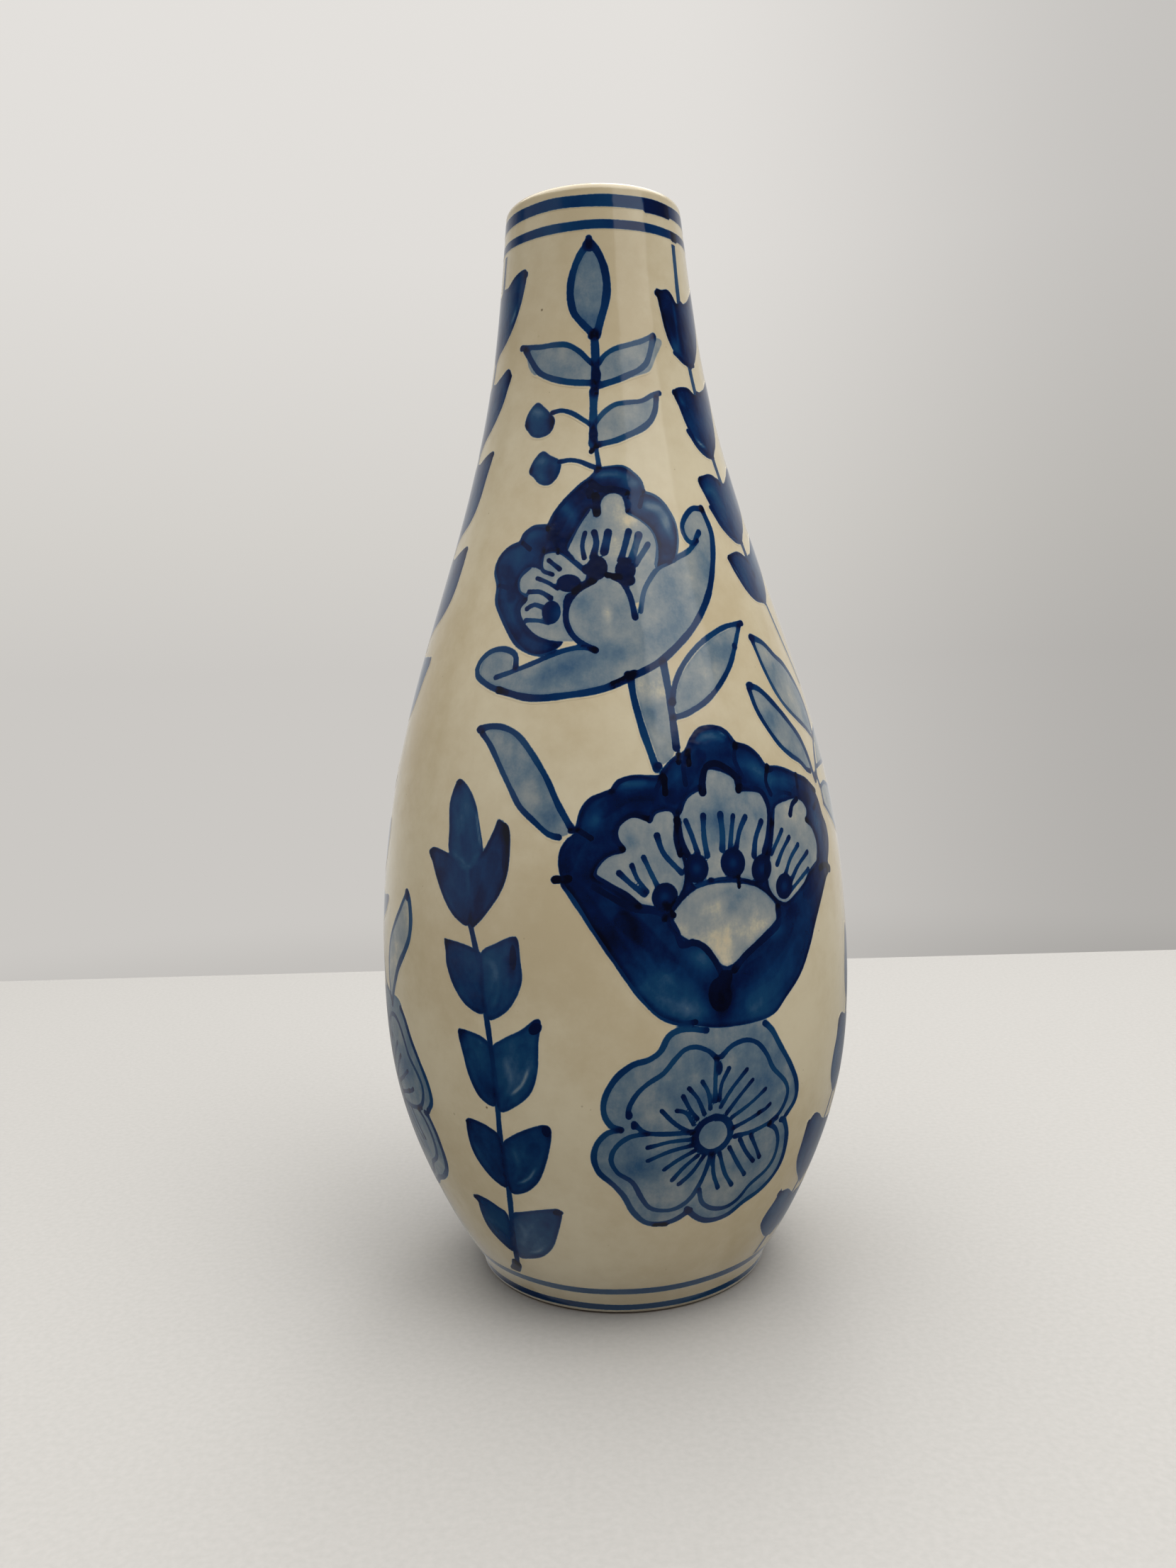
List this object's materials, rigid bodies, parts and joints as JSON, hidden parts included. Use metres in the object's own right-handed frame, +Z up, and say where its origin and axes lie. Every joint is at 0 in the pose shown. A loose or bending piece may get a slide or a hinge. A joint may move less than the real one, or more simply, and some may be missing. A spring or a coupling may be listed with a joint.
{
  "type": "ceramic vase",
  "caption": "Tall pear-shaped glazed pottery vase with a narrow neck, rounded lip, small foot ring and hand-painted blue flowers, leaves and bands.",
  "frame": {"origin": "centre of the foot ring's underside, on the surface the vase stands on", "axes": "+Z up along the vase's axis, -Y towards the front panel, +X to the front's right"},
  "size_m": [0.113, 0.1126, 0.25],
  "materials": {
    "fired_clay": "unglazed fired earthenware, matt and slightly gritty",
    "cream_glaze": "glossy cream tin glaze with fine dark specks",
    "inside_glaze": "glossy cream glaze, a little thinner and duller than outside",
    "cobalt_line": "brushed cobalt line under the same glossy glaze",
    "dark_cobalt": "dense cobalt wash under gloss, darker where the brush stopped",
    "pale_cobalt": "thin mottled cobalt wash with dark outlines under gloss"
  },
  "bodies": {
    "root": {"clay_body": "fired_clay", "outer_glaze": "cream_glaze", "inner_glaze": "inside_glaze", "rim_band_upper": "cobalt_line", "rim_band_lower": "cobalt_line", "foot_band_upper": "cobalt_line", "foot_band_lower": "cobalt_line", "front_top_sprig": "pale_cobalt", "front_upper_flower": "dark_cobalt", "front_leafy_stem": "pale_cobalt", "front_side_leaf": "pale_cobalt", "front_large_flower": "dark_cobalt", "front_blossom": "pale_cobalt", "front_rising_sprig": "dark_cobalt", "front_right_vine": "dark_cobalt", "front_left_vine": "dark_cobalt", "front_light_sprig": "pale_cobalt", "front_rising_vine": "dark_cobalt", "front_side_blossom": "pale_cobalt", "front_side_sprig": "pale_cobalt", "back_top_sprig": "pale_cobalt", "back_upper_flower": "dark_cobalt", "back_leafy_stem": "pale_cobalt", "back_side_leaf": "pale_cobalt", "back_large_flower": "dark_cobalt", "back_blossom": "pale_cobalt", "back_rising_sprig": "dark_cobalt", "back_right_vine": "dark_cobalt", "back_left_vine": "dark_cobalt", "back_light_sprig": "pale_cobalt", "back_rising_vine": "dark_cobalt", "back_side_blossom": "pale_cobalt", "back_side_sprig": "pale_cobalt"}
  },
  "joints": []
}
